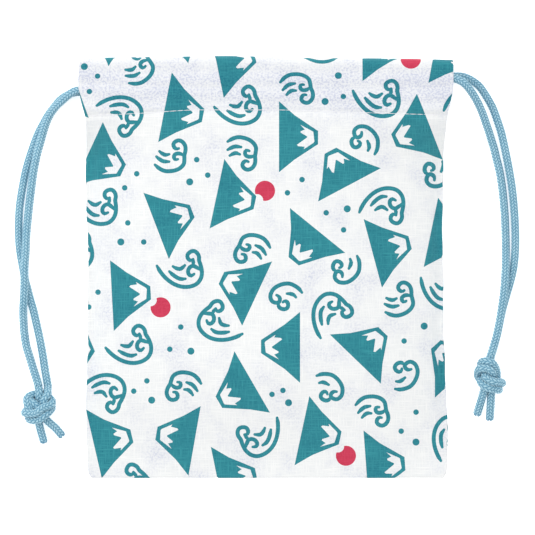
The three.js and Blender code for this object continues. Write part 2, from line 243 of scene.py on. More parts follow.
# The print: peaks with snow, curling waves, low suns and drops of spray. Each kind is drawn once about its own
# middle, and then placed all over the strip. An outline's own points are [across, up].
PEAK = [(-12.7, -0.1), (12.6, -0.1), (8.1, 5.4), (2.6, 13.8), (-2.1, 13.8), (-7.75, 5.4)]
SNOW = [
    (-4.3, 7.5), (-1.85, 12.1), (1.6, 12.5), (2.1, 12.2), (4.4, 8.7), (3.5, 9.1), (3.3, 6.7), (2.8, 6.3),
    (0.2, 9.9), (-0.2, 9.9), (-1.5, 7.6), (-2.0, 7.6), (-2.6, 9.1),
]
BIG_WAVE = [
    [
        (-9.1, 1.7), (-8.0, -0.2), (-6.4, -2.2), (-4.3, -4.0), (-2.1, -5.2), (0.3, -5.8), (2.85, -5.65),
        (5.1, -4.7), (6.4, -3.1), (6.9, -1.4), (6.85, 0.3), (6.4, 2.2), (5.9, 3.6), (5.9, 4.9), (5.2, 6.3),
        (4.0, 7.0), (2.7, 6.6), (1.8, 5.6), (2.0, 4.25), (3.0, 3.6), (3.8, 4.1),
    ],
    [(6.3, 0.3), (4.9, 1.2), (3.7, 1.7), (2.5, 1.0), (2.0, -0.2), (2.3, -1.4), (3.2, -1.8), (4.2, -1.2)],
    [(3.8, 4.1), (3.9, 3.0), (3.7, 1.7)],
    [(-3.4, 1.5), (-2.1, 0.8), (-0.7, 0.6), (0.9, 1.9)],
    [(-4.7, -0.3), (-3.5, -1.4), (-1.9, -2.5), (-0.6, -3.0), (1.1, -2.9)],
]
WAVE = [
    [
        (-5.6, -3.0), (-3.9, -4.4), (-2.1, -5.2), (-0.25, -5.3), (1.8, -4.95), (3.5, -4.1), (4.7, -2.7),
        (4.9, -1.0), (4.9, 0.4), (5.3, 2.0), (5.2, 3.7), (4.25, 5.1), (2.95, 5.65), (1.65, 5.2), (1.0, 4.3),
        (1.3, 3.2), (2.1, 2.6), (2.95, 2.8),
    ],
    [(4.6, 0.25), (3.7, 0.8), (2.5, 1.0), (1.4, 0.5), (1.2, -0.45), (1.65, -1.15), (2.6, -1.05)],
    [(-4.0, 1.8), (-3.0, 1.0), (-1.9, 0.5), (-0.5, 0.75)],
    [(-5.1, -0.1), (-3.9, -1.05), (-2.6, -1.75), (-0.5, -1.9)],
]
SMALL_WAVE = [
    [
        (-4.2, -4.7), (-2.4, -4.9), (-0.5, -4.55), (1.2, -3.8), (2.5, -2.45), (3.4, -0.75), (3.85, 1.0),
        (3.7, 2.55), (2.9, 4.15), (1.3, 5.0), (-0.1, 4.5), (-0.8, 3.5), (-0.25, 2.45), (0.7, 2.1),
        (1.6, 2.35),
    ],
    [
        (-0.8, 3.8), (-1.7, 4.6), (-2.8, 4.65), (-3.95, 3.9), (-4.35, 2.9), (-3.85, 1.9), (-2.95, 1.4),
        (-2.0, 1.7), (-1.8, 2.55),
    ],
    [(-3.85, -2.0), (-2.7, -2.05), (-1.7, -1.55), (-0.65, -0.65)],
]
STROKE = 1.48
STROKE_TIP = 0.95
TAPER = 1.6
SUN = 3.6
SUN_BITE = 2.2
BIG_DROP = 1.28
DROP = 1.0

# Each peak stands on the middle of its base: u, v, the direction in degrees in which it points, and -1 where
# it is the mirrored one.
PEAKS = [
    (-35.5, 57.0, -11, 1), (5.1, 46.5, 0, 1), (-17.0, 26.2, -12, 1), (-38.7, 14.9, 21, -1),
    (18.7, 13.1, -129, -1), (58.7, 50.2, -158, 1), (30.0, 29.5, 118, -1), (38.5, 5.1, 15, -1),
    (-2.9, -9.3, 155, -1), (12.4, -28.4, 180, 1), (-54.5, -10.0, 3, -1), (32.3, -32.6, 46, 1),
    (-4.6, -40.9, -150, -1), (-25.2, -61.8, 170, 1), (13.3, -58.2, -12, -1), (-63.1, 40.4, -25.7, -1),
    (-17.1, 72.7, 11.5, 1), (34.8, 79.2, 0, 1), (60.4, 78.5, -9.8, 1), (59.3, 12.5, -11.8, 1),
    (70.0, -37.9, 132, 1), (-61.0, -63.0, 13, 1), (36.2, -70.8, 4.3, 1), (-16.7, -76.4, 11.5, 1),
    (-60.0, 83.8, 20.5, 1), (-34.8, 82.8, 36.9, 1), (-73.4, -24.2, -33, 1), (-67.1, 65.2, 199.5, 1),
]
# Each wave: u, v, the turn in degrees, 1 or -1 where it is drawn upside down first, and its size.
BIG_WAVES = [
    (-51.0, 55.0, -27, -1, 1), (-8.8, 56.9, 9, 1, 1), (40.5, 60.1, -7, 1, 1.04), (42.5, 22.3, 6, -1, 1),
    (-29.4, -1.1, 0, 1, 1), (-16.6, -20.1, 147, -1, 1), (22.9, -16.4, 60, -1, 1), (-47.6, -28.4, 12, 1, 1),
    (-57.1, -44.0, -11, -1, 1), (-1.8, -60.5, 218, -1, 1), (-68.6, 5.5, 0, 1, 1), (63.6, -8.4, -20, 1, 1),
    (65.9, -60.3, 60, -1, 1), (-48.1, -78.5, 31, 1, 1), (19.1, 79.6, 0, 1, 1), (72.5, 58.7, 7, -1, 1),
    (-59.9, 21.6, -11, 1, 1),
]
WAVES = [
    (-45.3, 71.3, 33, 1, 1), (11.4, 63.8, 8, -1, 1), (-33.6, 39.6, 0, 1, 1), (-8.3, 40.9, -10, -1, 1),
    (-4.5, 6.3, 159, 1, 1), (47.6, -11.6, 15, 1, 1), (-29.0, -42.6, 163, 1, 1), (38.3, -51.2, 8, -1, 1),
]
SMALL_WAVES = [
    (50.6, -38.6, 0, 1, 1), (23.5, -42.3, 12, -1, 1), (36.1, 45.9, 70, 1, 1), (29.4, -1.2, -75, -1, 1),
    (6.9, -9.3, 135, 1, 1), (62.4, 33.4, -75, -1, 1.05),
]
# Each sun: u, v, and the direction in degrees of the bite out of its edge. Each drop of spray: u, v.
SUNS = [(0, 27.3, 230), (-37.2, -14.2, 144), (28.9, -67.2, 130), (51.9, 75.1, 90)]
BIG_DROPS = [
    (-64.3, 72.0), (-51.4, 9.1), (-26.8, 30.5), (21.4, 59.1), (29.3, 20.9), (-26.4, -29.8), (-40.4, -47.3),
    (8.4, -48.2), (56.8, -20.9), (53.9, -62.3), (26.1, 68.7),
]
DROPS = [
    (-59.6, 68.4), (-62.5, 62.7), (-45.7, 33.4), (-50.0, 28.4), (-48.9, 15.9), (-43.2, 9.1), (-59.6, -8.8),
    (-62.9, -14.1), (-24.3, 38.4), (-20.4, 32.9), (27.9, 60.9), (13.2, 31.3), (8.0, 26.6),
    (21.8, 19.5), (28.0, 13.4), (-30.0, -21.2), (-33.9, -29.1), (-42.1, -40.4), (-46.8, -44.1),
    (2.5, -45.2), (6.4, -43.8), (49.6, -26.2), (53.9, -51.6), (48.6, -58.4),
]
# The print repeats along the strip.
REPEAT = 151.5
WHITE, TEAL, RED = 0, 1, 2


def placed(outline, u, v, turn, flip=1, size=1):
    """An outline moved to its place on the strip."""
    angle = math.radians(turn)
    across, up = (np.array(outline, float) * size).T
    up = up * flip
    return np.stack(
        [
            u + across * math.cos(angle) - up * math.sin(angle),
            v + across * math.sin(angle) + up * math.cos(angle),
        ],
        axis=-1,
    )


def densely(outline, step):
    """A closed outline with more points along its straight sides."""
    corners = np.array(outline, float)
    points = []
    for start, end in zip(corners, np.roll(corners, -1, axis=0)):
        count = max(1, round(np.linalg.norm(end - start) / step))
        points += [start + (end - start) * i / count for i in range(count)]
    return np.array(points)


def smooth_line(points, step):
    """Evenly spaced points, about step apart, on the smooth line through a route's own points."""
    given = np.array(points, float)
    ends = np.vstack([2 * given[0] - given[1], given, 2 * given[-1] - given[-2]])
    share = np.linspace(0, 1, 24, endpoint=False)[:, None]
    pieces = []
    for before, start, end, after in zip(ends[:-3], ends[1:-2], ends[2:-1], ends[3:]):
        t0, t1, t2 = (
            np.sqrt(np.linalg.norm(b - a)) for a, b in ((before, start), (start, end), (end, after))
        )
        leave = t1 * ((start - before) / t0 - (end - before) / (t0 + t1) + (end - start) / t1)
        arrive = t1 * ((end - start) / t1 - (after - start) / (t1 + t2) + (after - end) / t2)
        square, cube = share**2, share**3
        pieces.append(
            (2 * cube - 3 * square + 1) * start
            + (cube - 2 * square + share) * leave
            + (3 * square - 2 * cube) * end
            + (cube - square) * arrive
        )
    line = np.vstack([*pieces, given[-1:]])
    along = np.concatenate([[0], np.cumsum(np.linalg.norm(np.diff(line, axis=0), axis=1))])
    even = np.linspace(0, along[-1], max(2, round(along[-1] / step) + 1))
    return np.stack([np.interp(even, along, line[:, axis]) for axis in range(3)], axis=1)


def brush_stroke(points):
    """The outline of one stroke of the brush: full in the middle, and thin at both tips."""
    line = smooth_line([(*point, 0) for point in points], 0.6)[:, :2]
    along = np.concatenate([[0], np.cumsum(np.linalg.norm(np.diff(line, axis=0), axis=1))])
    ahead = np.gradient(line, axis=0)
    ahead /= np.linalg.norm(ahead, axis=1)[:, None]
    left = np.stack([-ahead[:, 1], ahead[:, 0]], axis=1)
    ends = np.minimum(along, along[-1] - along)
    half = (STROKE_TIP + (STROKE - STROKE_TIP) * ease(ends, 0, TAPER)) / 2
    round_tip = np.radians([-60, -25, 25, 60])
    start, end = line[0], line[-1]
    on_tip, off_tip = STROKE_TIP / 2 * np.cos(round_tip)[:, None], STROKE_TIP / 2 * np.sin(round_tip)[:, None]
    start_cap = start - on_tip * ahead[0] + off_tip * left[0]
    end_cap = end + on_tip * ahead[-1] + off_tip * left[-1]
    near_side, far_side = line - left * half[:, None], (line + left * half[:, None])[::-1]
    return np.vstack([start_cap[::-1], near_side, end_cap, far_side])


def ring(radius, sides):
    """A round outline."""
    return [
        (radius * math.cos(2 * math.pi * i / sides), radius * math.sin(2 * math.pi * i / sides))
        for i in range(sides)
    ]


def sun_outline():
    """A round sun with a round bite out of its edge, which points along +across."""
    points = []
    for x, y in ring(SUN, 36):
        gone = math.hypot(x - SUN - 0.8, y)
        if gone < SUN_BITE:
            x = SUN + 0.8 - math.sqrt(max(0, SUN_BITE**2 - y * y))
        points.append((x, y))
    return points


def motif(parts):
    """One motif from its coloured outlines, with its middle and how far it reaches."""
    points = np.vstack([outline for _, outline in parts])
    low, high = points.min(axis=0), points.max(axis=0)
    return {"parts": parts, "middle": (low + high) / 2, "reach": (high - low).mean() / 2}


def one_length():
    """Every motif of one length of the print."""
    motifs = []
    for u, v, heading, mirror in PEAKS:
        outlines = [(TEAL, densely(PEAK, 1.6) * (mirror, 1)), (WHITE, densely(SNOW, 1.6) * (mirror, 1))]
        motifs.append(motif([(ink, placed(outline, u, v, heading - 90)) for ink, outline in outlines]))
    for places, strokes in ((BIG_WAVES, BIG_WAVE), (WAVES, WAVE), (SMALL_WAVES, SMALL_WAVE)):
        outlines = [brush_stroke(stroke) for stroke in strokes]
        for u, v, turn, flip, size in places:
            motifs.append(motif([(TEAL, placed(outline, u, v, turn, flip, size)) for outline in outlines]))
    for u, v, turn in SUNS:
        motifs.append(motif([(RED, placed(sun_outline(), u, v, turn))]))
    for places, radius in ((BIG_DROPS, BIG_DROP), (DROPS, DROP)):
        for u, v in places:
            motifs.append(motif([(TEAL, placed(ring(radius, 14), u, v, 0))]))
    return motifs


def whole_print():
    """The motifs of the whole strip. Where two lengths meet, a motif that would crowd another is left out."""
    first = one_length()
    printed = list(first)
    for shift in (-REPEAT, REPEAT, -2 * REPEAT):
        for each in first:
            middle = each["middle"] + (0, shift)
            if not BACK_END_V - 12 < middle[1] < FRONT_END_V + 12:
                continue
            crowd = (
                np.hypot(*(middle - other["middle"])) < 0.85 * (each["reach"] + other["reach"])
                for other in printed
            )
            if not any(crowd):
                parts = [(ink, outline + (0, shift)) for ink, outline in each["parts"]]
                printed.append({**each, "parts": parts, "middle": middle})
    return printed


def cut_edge(side):
    """The cut edge of the strip on one side, as points [u, v] from its back end to its front end."""
    out = -1 if side == 1 else 1
    beyond_hem = HEM_ARC + ALLOWANCE
    steps = [
        (BACK_END_V, None), (BACK_FOLD_V - 7.2, None), (BACK_FOLD_V - 3.8, 0),
        (BACK_FOLD_V - 3.4, beyond_hem), (BACK_V - 1.6, beyond_hem), (BACK_V - 1.2, HEM_ARC),
        (BOTTOM_Y + 1.2, HEM_ARC), (BOTTOM_Y + 1.6, beyond_hem), (FOLD_Y + 3.4, beyond_hem),
        (FOLD_Y + 3.8, 0), (FOLD_Y + 7.2, None), (FRONT_END_V, None),
    ]
    points = []
    for (v, reach), (next_v, next_reach) in zip(steps, steps[1:] + [(FRONT_END_V, None)]):
        even = reach == next_reach and reach is not None
        pitch = 0.35 if reach == HEM_ARC else 1.8
        count = max(1, round((next_v - v) / pitch)) if even else 1
        for at in np.linspace(v, next_v, count, endpoint=False):
            u = out * FLAP_END_X if reach is None else float(hem_edge(np.array(at), side)) + out * reach
            points.append((u, at))
    return np.array(points)


def grid_points(left_cut, right_cut):
    """A regular grid over the strip, with close rows round the folds and in the casings."""
    rows = np.concatenate([
        np.arange(BACK_END_V + 1.7, BACK_FOLD_V - CASING_ARC, 1.7),
        np.linspace(BACK_FOLD_V - CASING_ARC, BACK_FOLD_V, 13),
        np.arange(BACK_FOLD_V + 1.9, BACK_V - 0.6, 1.9),
        np.linspace(BACK_V, BOTTOM_Y, 8),
        np.arange(BOTTOM_Y + 0.8, STITCH_Y - 6, 1.45),
        np.arange(STITCH_Y - 5.2, FOLD_Y - 0.4, 0.8),
        np.linspace(FOLD_Y, FOLD_Y + CASING_ARC, 13),
        np.arange(FOLD_Y + CASING_ARC + 1.5, FRONT_END_V - 0.8, 1.5),
    ])
    hem = np.concatenate([HEM_ARC * np.arange(1, 5) / 4, HEM_ARC + np.array([2.2, 4.5, 6.8])])
    left, right = hem_edge(rows, 1)[:, None], hem_edge(rows, 2)[:, None]
    share = np.concatenate([[0, 0.006, 0.014], np.linspace(0.025, 0.975, 86), [0.986, 0.994, 1]])
    u = np.hstack([left - hem[::-1], left + (right - left) * share, right + hem])
    v = np.broadcast_to(rows[:, None], u.shape)
    first = np.interp(v, left_cut[:, 1], left_cut[:, 0]) + 0.25
    last = np.interp(v, right_cut[:, 1], right_cut[:, 0]) - 0.25
    inside = (u > first) & (u < last)
    return np.stack([u[inside], v[inside]], axis=1)


def windings(places, outline):
    """How many times an outline goes round each place."""
    start, end = outline, np.roll(outline, -1, axis=0)
    x, y = places[:, :1], places[:, 1:]
    left_of = (end[:, 0] - start[:, 0]) * (y - start[:, 1]) - (x - start[:, 0]) * (end[:, 1] - start[:, 1])
    up = (start[:, 1] <= y) & (end[:, 1] > y) & (left_of > 0)
    down = (start[:, 1] > y) & (end[:, 1] <= y) & (left_of < 0)
    return up.sum(axis=1) - down.sum(axis=1)


def printed_strip():
    """The strip as flat triangles that follow the outlines of the print: corners, triangles and their inks."""
    left_cut, right_cut = cut_edge(1), cut_edge(2)
    border = np.vstack([right_cut, left_cut[::-1]])
    loops = [border]
    prints = []
    for each in whole_print():
        for ink, outline in each["parts"]:
            low, high = outline.min(axis=0), outline.max(axis=0)
            prints.append((ink, outline, low, high))
            if high[1] > BACK_END_V and low[1] < FRONT_END_V and high[0] > -76 and low[0] < 78:
                loops.append(outline)
    drawn = np.vstack(loops)
    cell = 0.55
    taken = set(map(tuple, np.floor(drawn / cell).astype(int).tolist()))
    grid = grid_points(left_cut, right_cut)
    cells = np.floor(grid / cell).astype(int).tolist()
    grid = grid[[tuple(at) not in taken for at in cells]]
    edges = []
    start = 0
    for loop in loops:
        count = len(loop)
        edges += [(start + i, start + (i + 1) % count) for i in range(count)]
        start += count
    points, _, faces, *_ = delaunay_2d_cdt(np.vstack([drawn, grid]).tolist(), edges, [], 0, 1e-5)
    flat = np.array([tuple(point) for point in points])
    triangles = np.array([face for face in faces if len(face) == 3])
    middles = flat[triangles].mean(axis=1)
    first = np.interp(middles[:, 1], left_cut[:, 1], left_cut[:, 0])
    last = np.interp(middles[:, 1], right_cut[:, 1], right_cut[:, 0])
    on_strip = (middles[:, 0] > first) & (middles[:, 0] < last)
    on_strip &= (middles[:, 1] > BACK_END_V) & (middles[:, 1] < FRONT_END_V)
    triangles, middles = triangles[on_strip], middles[on_strip]
    inks = np.zeros(len(triangles), int)
    for ink, outline, low, high in prints:
        near = np.nonzero(((middles > low) & (middles < high)).all(axis=1))[0]
        if len(near):
            inks[near[windings(middles[near], outline) != 0]] = ink
    used, triangles = np.unique(triangles, return_inverse=True)
    return flat[used], triangles.reshape(-1, 3), inks


def mesh_object(name, places, faces):
    """A smooth-shaded mesh object, from its corners' places and its faces of three or four corners."""
    mesh = bpy.data.meshes.new(name)
    mesh.from_pydata(places.tolist(), [], faces)
    mesh.polygons.foreach_set("use_smooth", np.ones(len(mesh.polygons), bool))
    mesh.update()
    piece = bpy.data.objects.new(name, mesh)
    bpy.context.collection.objects.link(piece)
    return piece


flat, triangles, inks = printed_strip()
u, v = flat.T
normals = outward(u, v)
printed_side = folded(u, v)
inner_side = printed_side - FABRIC * normals
count = len(flat)
sides = np.sort(np.vstack([triangles[:, [0, 1]], triangles[:, [1, 2]], triangles[:, [2, 0]]]), axis=1)
_, where, times = np.unique(sides, axis=0, return_inverse=True, return_counts=True)
directed = np.vstack([triangles[:, [0, 1]], triangles[:, [1, 2]], triangles[:, [2, 0]]])
rim = directed[times[where.ravel()] == 1]
rim_faces = np.stack([rim[:, 1], rim[:, 0], rim[:, 0] + count, rim[:, 1] + count], axis=1)
faces = triangles.tolist() + (triangles[:, ::-1] + count).tolist() + rim_faces.tolist()
cloth = mesh_object("pouch_cloth_printed", np.vstack([printed_side, inner_side]) * MM, faces)

# Each face has the ink of its own side. The inner side shows the print faintly through the cotton.
SHOWS_THROUGH = 3
slots = np.concatenate(
    [inks, np.where(inks == WHITE, WHITE, inks + SHOWS_THROUGH - 1), np.zeros(len(rim), int)]
)
cloth.data.polygons.foreach_set("material_index", slots.astype(np.int32))
cutting_table = cloth.data.uv_layers.new(name="cutting_table")
corner = np.empty(len(cloth.data.loops), np.int32)
cloth.data.loops.foreach_get("vertex_index", corner)
cutting_table.data.foreach_set("uv", (flat[corner % count] * MM).astype(np.float32).ravel())
doubled = ease(v, STITCH_Y - 1, STITCH_Y + 1.5) * (1 - ease(v, FOLD_Y - 1.5, FOLD_Y + 2))
over_cords = np.zeros_like(v)
for ridge in CORD_RIDGES:
    over_cords = np.maximum(over_cords, np.exp(-(((v - along_line(u, ridge)) / 2.3) ** 2)))
lining = cloth.data.attributes.new("lining", "FLOAT", "POINT")
lining.data.foreach_set("value", np.tile(doubled * (0.5 + 0.5 * over_cords), 2).astype(np.float32))
cloth.data.normals_split_custom_set_from_vertices(np.vstack([normals, -normals]).tolist())


def colour(hex_code):
    """The colour of a dye card, given as six hex digits, as Blender's linear RGBA."""
    channels = [int(hex_code[i : i + 2], 16) / 255 for i in (0, 2, 4)]
    return [c / 12.92 if c <= 0.04045 else ((c + 0.055) / 1.055) ** 2.4 for c in channels] + [1]


def node(tree, kind, **settings):
    """A new shader node, with some of its settings."""
    made = tree.nodes.new(kind)
    for key, value in settings.items():
        setattr(made, key, value)
    return made


def calculate(tree, operation, *values):
    """A Math node on some numbers or other nodes' outputs. Gives back its output."""
    made = node(tree, "ShaderNodeMath", operation=operation)
    for i, value in enumerate(values):
        if isinstance(value, (int, float)):
            made.inputs[i].default_value = value
        else:
            tree.links.new(value, made.inputs[i])
    return made.outputs[0]


# The weave of the cotton: threads over and under each other, some of them thicker for a stretch. It is shared
# by the plain cloth and the inks on it. Place is the spot on the cutting table, in metres.
weave = bpy.data.node_groups.new("cotton_weave", "ShaderNodeTree")
weave.interface.new_socket(name="Place", in_out="INPUT", socket_type="NodeSocketVector")
pitch_socket = weave.interface.new_socket(name="Thread Pitch", in_out="INPUT", socket_type="NodeSocketFloat")
pitch_socket.default_value = 0.0004
weave.interface.new_socket(name="Height", in_out="OUTPUT", socket_type="NodeSocketFloat")
weave.interface.new_socket(name="Slubs", in_out="OUTPUT", socket_type="NodeSocketFloat")
weave.interface.new_socket(name="Patches", in_out="OUTPUT", socket_type="NodeSocketFloat")
weave.interface.new_socket(name="Gaps", in_out="OUTPUT", socket_type="NodeSocketFloat")
given = node(weave, "NodeGroupInput")
result = node(weave, "NodeGroupOutput")
apart = node(weave, "ShaderNodeSeparateXYZ")
weave.links.new(given.outputs["Place"], apart.inputs["Vector"])
across_threads = calculate(weave, "DIVIDE", apart.outputs["X"], given.outputs["Thread Pitch"])
along_threads = calculate(weave, "DIVIDE", apart.outputs["Y"], given.outputs["Thread Pitch"])
warp_wave = calculate(weave, "COSINE", calculate(weave, "MULTIPLY", across_threads, math.pi))
weft_wave = calculate(weave, "COSINE", calculate(weave, "MULTIPLY", along_threads, math.pi))
over = calculate(weave, "MULTIPLY", calculate(weave, "MULTIPLY", warp_wave, weft_wave), 0.5)
warp = calculate(
    weave, "MULTIPLY", calculate(weave, "ABSOLUTE", warp_wave), calculate(weave, "ADD", 0.7, over)
)
weft = calculate(
    weave, "MULTIPLY", calculate(weave, "ABSOLUTE", weft_wave), calculate(weave, "SUBTRACT", 0.7, over)
)
crossing = calculate(weave, "MAXIMUM", warp, weft)


def streaks(x_scale, y_scale):
    """Noise drawn out along one set of threads, which makes some of them thicker than others."""
    stretch = node(weave, "ShaderNodeCombineXYZ")
    weave.links.new(calculate(weave, "MULTIPLY", across_threads, x_scale), stretch.inputs["X"])
    weave.links.new(calculate(weave, "MULTIPLY", along_threads, y_scale), stretch.inputs["Y"])
    noise = node(weave, "ShaderNodeTexNoise")
    noise.inputs["Scale"].default_value = 1
    noise.inputs["Detail"].default_value = 2
    weave.links.new(stretch.outputs["Vector"], noise.inputs["Vector"])
    return noise.outputs["Fac"]


slubs = calculate(weave, "MAXIMUM", streaks(1.1, 0.07), streaks(0.06, 1.0))
patch_noise = node(weave, "ShaderNodeTexNoise")
patch_noise.inputs["Scale"].default_value = 85
patch_noise.inputs["Detail"].default_value = 3
weave.links.new(given.outputs["Place"], patch_noise.inputs["Vector"])
speck_noise = node(weave, "ShaderNodeTexNoise")
speck_noise.inputs["Scale"].default_value = 1350
speck_noise.inputs["Detail"].default_value = 1
weave.links.new(given.outputs["Place"], speck_noise.inputs["Vector"])
specks = node(weave, "ShaderNodeMapRange")
specks.inputs["From Min"].default_value = 0.44
specks.inputs["From Max"].default_value = 0.68
specks.inputs["To Max"].default_value = 1.2
weave.links.new(speck_noise.outputs["Fac"], specks.inputs["Value"])
closed = calculate(weave, "MULTIPLY_ADD", crossing, -0.7, 0.85)
weave.links.new(calculate(weave, "ADD", closed, specks.outputs["Result"]), result.inputs["Gaps"])
weave.links.new(calculate(weave, "ADD", crossing, slubs), result.inputs["Height"])
weave.links.new(slubs, result.inputs["Slubs"])
weave.links.new(patch_noise.outputs["Fac"], result.inputs["Patches"])


def cotton(name, dark, light, tinge, tinge_amount, lining_tinge, roughness=0.92):
    """Printed or plain cotton: two tones of one colour in its weave. A faint tinge of a third shows in patches,
    where the printed back lies under it, and in the casing, where the cloth is double and holds the cords."""
    finish = bpy.data.materials.new(name)
    finish.use_nodes = True
    tree = finish.node_tree
    shader = tree.nodes["Principled BSDF"]
    place = node(tree, "ShaderNodeUVMap", uv_map="cutting_table")
    cloth_weave = node(tree, "ShaderNodeGroup", node_tree=weave)
    tree.links.new(place.outputs["UV"], cloth_weave.inputs["Place"])
    level = calculate(tree, "MULTIPLY_ADD", cloth_weave.outputs["Slubs"], 1.5, -0.35)
    tones = node(tree, "ShaderNodeMix", data_type="RGBA", clamp_factor=True)
    tones.inputs["A"].default_value = colour(dark)
    tones.inputs["B"].default_value = colour(light)
    tree.links.new(level, tones.inputs["Factor"])
    spread = node(tree, "ShaderNodeMapRange")
    spread.inputs["From Min"].default_value = 0.45
    spread.inputs["From Max"].default_value = 0.75
    spread.inputs["To Max"].default_value = tinge_amount
    tree.links.new(cloth_weave.outputs["Patches"], spread.inputs["Value"])
    lined = node(tree, "ShaderNodeAttribute", attribute_name="lining")
    under = calculate(tree, "MULTIPLY_ADD", lined.outputs["Fac"], lining_tinge, spread.outputs["Result"])
    through = calculate(tree, "MULTIPLY", under, cloth_weave.outputs["Gaps"])
    tinged = node(tree, "ShaderNodeMix", data_type="RGBA", clamp_factor=True)
    tinged.inputs["B"].default_value = colour(tinge)
    tree.links.new(through, tinged.inputs["Factor"])
    tree.links.new(tones.outputs["Result"], tinged.inputs["A"])
    tree.links.new(tinged.outputs["Result"], shader.inputs["Base Color"])
    bump = node(tree, "ShaderNodeBump")
    bump.inputs["Strength"].default_value = 0.55
    bump.inputs["Distance"].default_value = 0.00009
    tree.links.new(cloth_weave.outputs["Height"], bump.inputs["Height"])
    tree.links.new(bump.outputs["Normal"], shader.inputs["Normal"])
    shader.inputs["Roughness"].default_value = roughness
    shader.inputs["Specular IOR Level"].default_value = 0.2
    shader.inputs["Sheen Weight"].default_value = 0.15
    shader.inputs["Sheen Roughness"].default_value = 0.5
    return finish


cloth.data.materials.append(cotton("white_cotton", "DCDFE1", "F7F7F5", "C6CADA", 0.6, 0.65))
cloth.data.materials.append(cotton("teal_ink_on_cotton", "0E6677", "409FA7", "1B6E80", 0.6, 0.5, 0.85))
cloth.data.materials.append(cotton("red_ink_on_cotton", "BA2846", "D64B66", "B02544", 0.6, 0.3, 0.85))
cloth.data.materials.append(cotton("teal_shows_through", "B5D2DA", "C3DBE1", "AECDD6", 0.5, 0))
cloth.data.materials.append(cotton("red_shows_through", "EBC0CB", "F0CDD5", "E8BAC6", 0.5, 0))
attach(cloth, "root")
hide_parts("pouch_cloth")


# ---- Sewing thread ---------------------------------------------------------------------------------------
# White thread in lockstitch: one line across each casing, and one up each side seam, inside the pouch, on the
# allowances. A stitch is drawn tight, so that its ends sink into the cloth.

STITCH_PITCH = 2.6
STITCH_LENGTH = 2.8
THREAD = 0.25

bpy.ops.object.select_all(action="DESELECT")
bpy.ops.mesh.primitive_uv_sphere_add(
    segments=8, ring_count=8, radius=0.5, location=(0, 0, 0), rotation=(0, math.pi / 2, 0)
)
stitch = bpy.context.object
bpy.ops.object.transform_apply(location=False, rotation=True, scale=False)
bpy.ops.object.mode_set(mode="EDIT")
bpy.ops.mesh.select_all(action="SELECT")
bpy.ops.transform.resize(value=(STITCH_LENGTH, THREAD, THREAD))
bpy.ops.object.mode_set(mode="OBJECT")
stitch_places = np.array([corner.co[:] for corner in stitch.data.vertices])
stitch_faces = [list(face.vertices) for face in stitch.data.polygons]
bpy.data.objects.remove(stitch)
stitch_places[:, 2] -= 0.22 * THREAD * (2 * stitch_places[:, 0] / STITCH_LENGTH) ** 2

thread_finish = bpy.data.materials.new("white_thread")
thread_finish.use_nodes = True
tree = thread_finish.node_tree
shader = tree.nodes["Principled BSDF"]
place = node(tree, "ShaderNodeTexCoord")
twist = node(tree, "ShaderNodeTexWave", wave_type="BANDS", bands_direction="DIAGONAL")
twist.inputs["Scale"].default_value = 1500
twist.inputs["Distortion"].default_value = 1.5
tree.links.new(place.outputs["Object"], twist.inputs["Vector"])
ply = node(tree, "ShaderNodeMix", data_type="RGBA")
ply.inputs["A"].default_value = colour("E4E5EA")
ply.inputs["B"].default_value = colour("F6F6F8")
tree.links.new(twist.outputs["Fac"], ply.inputs["Factor"])
tree.links.new(ply.outputs["Result"], shader.inputs["Base Color"])
bump = node(tree, "ShaderNodeBump")
bump.inputs["Strength"].default_value = 0.4
bump.inputs["Distance"].default_value = 0.00005
tree.links.new(twist.outputs["Fac"], bump.inputs["Height"])
tree.links.new(bump.outputs["Normal"], shader.inputs["Normal"])
shader.inputs["Roughness"].default_value = 0.6


def seam(name, replaced, line):
    """A row of stitches along a line of points on the cloth. The ends of neighbouring stitches just overlap."""
    along = np.concatenate([[0], np.cumsum(np.linalg.norm(np.diff(line, axis=0), axis=1))])
    places, faces = [], []
    for i in range(int(along[-1] / STITCH_PITCH)):
        start, middle, end = (
            np.array([np.interp((i + share) * STITCH_PITCH, along, line[:, axis]) for axis in range(3)])
            for share in (0.05, 0.5, 0.95)
        )
        ahead = (end - start) / np.linalg.norm(end - start)
        side = np.cross((0, 0, 1), ahead)
        side /= np.linalg.norm(side)
        turned = np.stack([ahead, side, np.cross(ahead, side)])
        first = i * len(stitch_places)
        places.append(middle + stitch_places @ turned)
        faces += [[first + corner for corner in face] for face in stitch_faces]
    row = mesh_object(name, np.vstack(places) * MM, faces)
    row.data.materials.append(thread_finish)
    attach(row, "root")
    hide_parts(replaced)


across = np.linspace(-62.4, 63.6, 240)
on_line = along_line(across, STITCH_LINE)
front_line = folded(across, on_line)
front_line[:, 2] += 0.1
seam("front_casing_stitches", "front_casing_thread", front_line)

back_line = folded(across[20:-20], np.full(200, BACK_FOLD_V - CASING_ARC - (FOLD_Y - STITCH_Y)))
back_line[:, 2] += 0.1
seam("back_casing_stitches", "back_casing_thread", back_line)

upward = np.linspace(-48, 36, 160)
for side, name in ((-1, "left"), (1, "right")):
    allowance_top = EDGE_RISE - 2 * HEM_RADIUS + FABRIC
    seam_line = np.stack([np.full(160, side * 58.0), upward, np.full(160, allowance_top + 0.12)], axis=1)
    seam(f"{name}_seam_stitches", f"{name}_seam_thread", seam_line)




# ---- Braid -----------------------------------------------------------------------------------------------
# Both drawstrings are soft pale blue cord, 3 mm over the tops of its picks, braided from polyester yarn: eight
# columns of slanted picks run round it. Each one is threaded through the casings from its own side and leaves
# them as two strands.

CORD = 0.003
PICK = 0.00116
COLUMNS = 8
PICK_SLANT = 0.8 * PICK
BRAID_DEPTH = 0.00033


